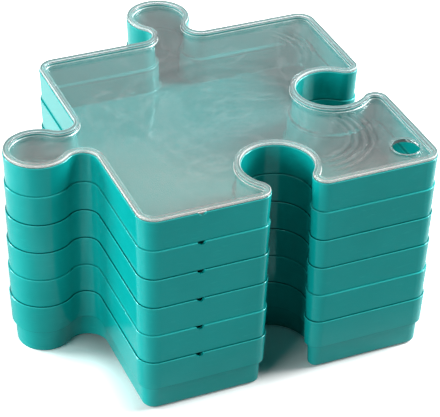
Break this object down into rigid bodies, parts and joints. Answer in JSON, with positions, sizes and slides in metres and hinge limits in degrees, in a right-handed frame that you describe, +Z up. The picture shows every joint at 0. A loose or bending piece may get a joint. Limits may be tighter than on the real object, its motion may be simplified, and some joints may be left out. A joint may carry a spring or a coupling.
{
  "type": "jigsaw puzzle storage case",
  "caption": "Free-standing stack of nesting trays shaped like a jigsaw piece, under a clear recessed lid with a finger hole, for sorting and storing loose puzzle pieces.",
  "frame": {"origin": "centre of the square part of the outline, on the underside of the bottom tray", "axes": "+X to the right towards a socket, +Y to the back towards a tab, +Z up through the stack"},
  "size_m": [0.2528, 0.2528, 0.1475],
  "materials": {
    "teal_plastic": "gloss",
    "lid_plastic": "satin"
  },
  "bodies": {
    "tray_1": {"tray_1": "teal_plastic"},
    "tray_2": {"tray_2": "teal_plastic"},
    "tray_3": {"tray_3": "teal_plastic"},
    "tray_4": {"tray_4": "teal_plastic"},
    "tray_5": {"tray_5": "teal_plastic"},
    "tray_6": {"tray_6": "teal_plastic"},
    "lid": {"lid": "lid_plastic"}
  },
  "joints": [
    {"name": "tray_2_lift", "type": "slide", "parent": "tray_1", "child": "tray_2", "axis": [0, 0, 1], "range_m": [0, 0.06]},
    {"name": "tray_3_lift", "type": "slide", "parent": "tray_2", "child": "tray_3", "axis": [0, 0, 1], "range_m": [0, 0.06]},
    {"name": "tray_4_lift", "type": "slide", "parent": "tray_3", "child": "tray_4", "axis": [0, 0, 1], "range_m": [0, 0.06]},
    {"name": "tray_5_lift", "type": "slide", "parent": "tray_4", "child": "tray_5", "axis": [0, 0, 1], "range_m": [0, 0.06]},
    {"name": "tray_6_lift", "type": "slide", "parent": "tray_5", "child": "tray_6", "axis": [0, 0, 1], "range_m": [0, 0.06]},
    {"name": "lid_lift", "type": "slide", "parent": "tray_6", "child": "lid", "axis": [0, 0, 1], "range_m": [0, 0.05]}
  ]
}
